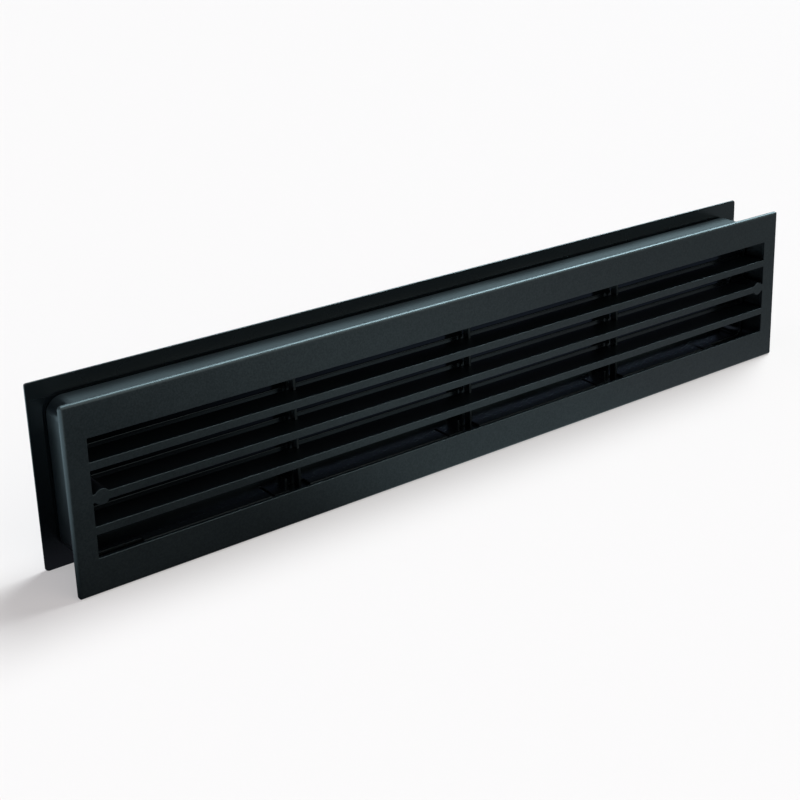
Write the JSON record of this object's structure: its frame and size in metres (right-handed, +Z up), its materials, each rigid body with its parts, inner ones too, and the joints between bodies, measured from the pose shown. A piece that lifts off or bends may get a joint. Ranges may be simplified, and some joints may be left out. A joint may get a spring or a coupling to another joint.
{
  "type": "louvred air grille",
  "caption": "Telescopic louvred ventilation grille for a door leaf: front and rear halves whose sleeves slide together and are drawn closed by long screws.",
  "frame": {"origin": "centre of the front flange's seating face, the plane that lies on the door leaf", "axes": "+X along the width, front face towards -Y and rear half towards +Y, +Z up"},
  "size_m": [0.453, 0.0365, 0.091],
  "materials": {
    "front_plastic": "fine-textured satin black moulded plastic",
    "rear_plastic": "fine-textured satin black moulded plastic, smoother on its inner side",
    "screw_steel": "bright zinc-plated steel"
  },
  "bodies": {
    "front": {"front_grille": "front_plastic"},
    "rear": {"rear_grille": "rear_plastic"},
    "screw_left": {"screw_left": "screw_steel"},
    "screw_right": {"screw_right": "screw_steel"}
  },
  "joints": [
    {"name": "telescope", "type": "slide", "parent": "front", "child": "rear", "axis": [0, 1, 0], "range_m": [0, 0.013]},
    {"name": "screw_left_turn", "type": "hinge", "parent": "rear", "child": "screw_left", "pos_m": [-0.2115, 0.031, 0], "axis": [0, 1, 0], "range_deg": [-5, 3605]},
    {"name": "screw_right_turn", "type": "hinge", "parent": "rear", "child": "screw_right", "pos_m": [0.2115, 0.031, 0], "axis": [0, 1, 0], "range_deg": [-5, 3605]}
  ],
  "couplings": [
    {"joint": "screw_left_turn", "follows": "telescope", "rad_per_m": 4833.2},
    {"joint": "screw_right_turn", "follows": "telescope", "rad_per_m": 4833.2}
  ]
}
